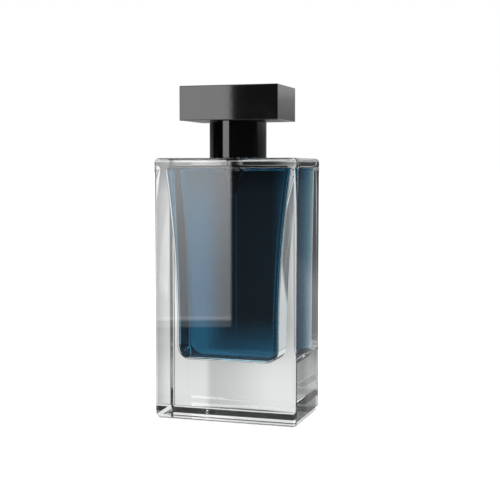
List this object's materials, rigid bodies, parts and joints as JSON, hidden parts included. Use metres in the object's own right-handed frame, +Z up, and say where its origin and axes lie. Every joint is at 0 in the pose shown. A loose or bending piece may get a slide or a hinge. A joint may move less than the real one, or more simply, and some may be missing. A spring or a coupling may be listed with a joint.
{
  "type": "aftershave bottle",
  "caption": "Rectangular thick-walled glass spray bottle with dark blue liquid, crimped pump, round collar and lift-off rectangular cap.",
  "frame": {"origin": "middle of the glass base's underside, on the surface that the bottle stands on", "axes": "+Z up through the neck and cap, +X along the bottle's width to its right, front face towards -Y with the spray nozzle"},
  "size_m": [0.063, 0.0378, 0.1423],
  "materials": {
    "clear_glass": "clear, fire-polished",
    "blue_liquid": "clear dark blue liquid",
    "gasket_rubber": "matt elastomer",
    "dark_pump_plastic": "smoked moulded plastic",
    "pump_plastic": "natural moulded plastic",
    "piston_plastic": "soft natural plastic",
    "ferrule_aluminium": "drawn sheet",
    "clear_tube": "clear tube",
    "spring_steel": "bright drawn steel",
    "button_plastic": "black moulded plastic",
    "black_metal": "gloss black anodised sheet",
    "black_gloss": "polished gloss black",
    "insert_plastic": "black moulded plastic",
    "weight_steel": "plain machined steel"
  },
  "bodies": {
    "base": {"glass_bottle": "clear_glass", "aftershave_fill": "blue_liquid", "neck_gasket": "gasket_rubber", "pump_housing": "dark_pump_plastic", "pump_turret": "pump_plastic", "stem_gasket": "gasket_rubber", "crimp_ferrule": "ferrule_aluminium", "dip_tube": "clear_tube", "return_spring": "spring_steel", "collar_insert": "insert_plastic", "collar_shell": "black_metal"},
    "plunger": {"pump_stem": "pump_plastic", "pump_piston": "piston_plastic"},
    "spray_head": {"spray_button": "button_plastic", "button_sleeve": "black_metal", "nozzle_insert": "button_plastic"},
    "check_ball": {"inlet_ball": "spring_steel"},
    "cap": {"cap_shell": "black_gloss", "cap_liner": "insert_plastic", "cap_weights": "weight_steel"}
  },
  "joints": [
    {"name": "pump_press", "type": "slide", "parent": "base", "child": "plunger", "axis": [0, 0, -1], "range_m": [0, 0.0045], "stiffness_N_per_m": 600, "springref_m": -0.003, "deforming": ["return_spring"]},
    {"name": "head_swivel", "type": "hinge", "parent": "plunger", "child": "spray_head", "pos_m": [0, 0, 0.133], "axis": [0, 0, 1], "continuous": true},
    {"name": "ball_lift", "type": "slide", "parent": "base", "child": "check_ball", "axis": [0, 0, 1], "range_m": [0, 0.0008]},
    {"name": "cap_lift", "type": "slide", "parent": "base", "child": "cap", "axis": [0, 0, 1], "range_m": [0, 0.025]}
  ]
}
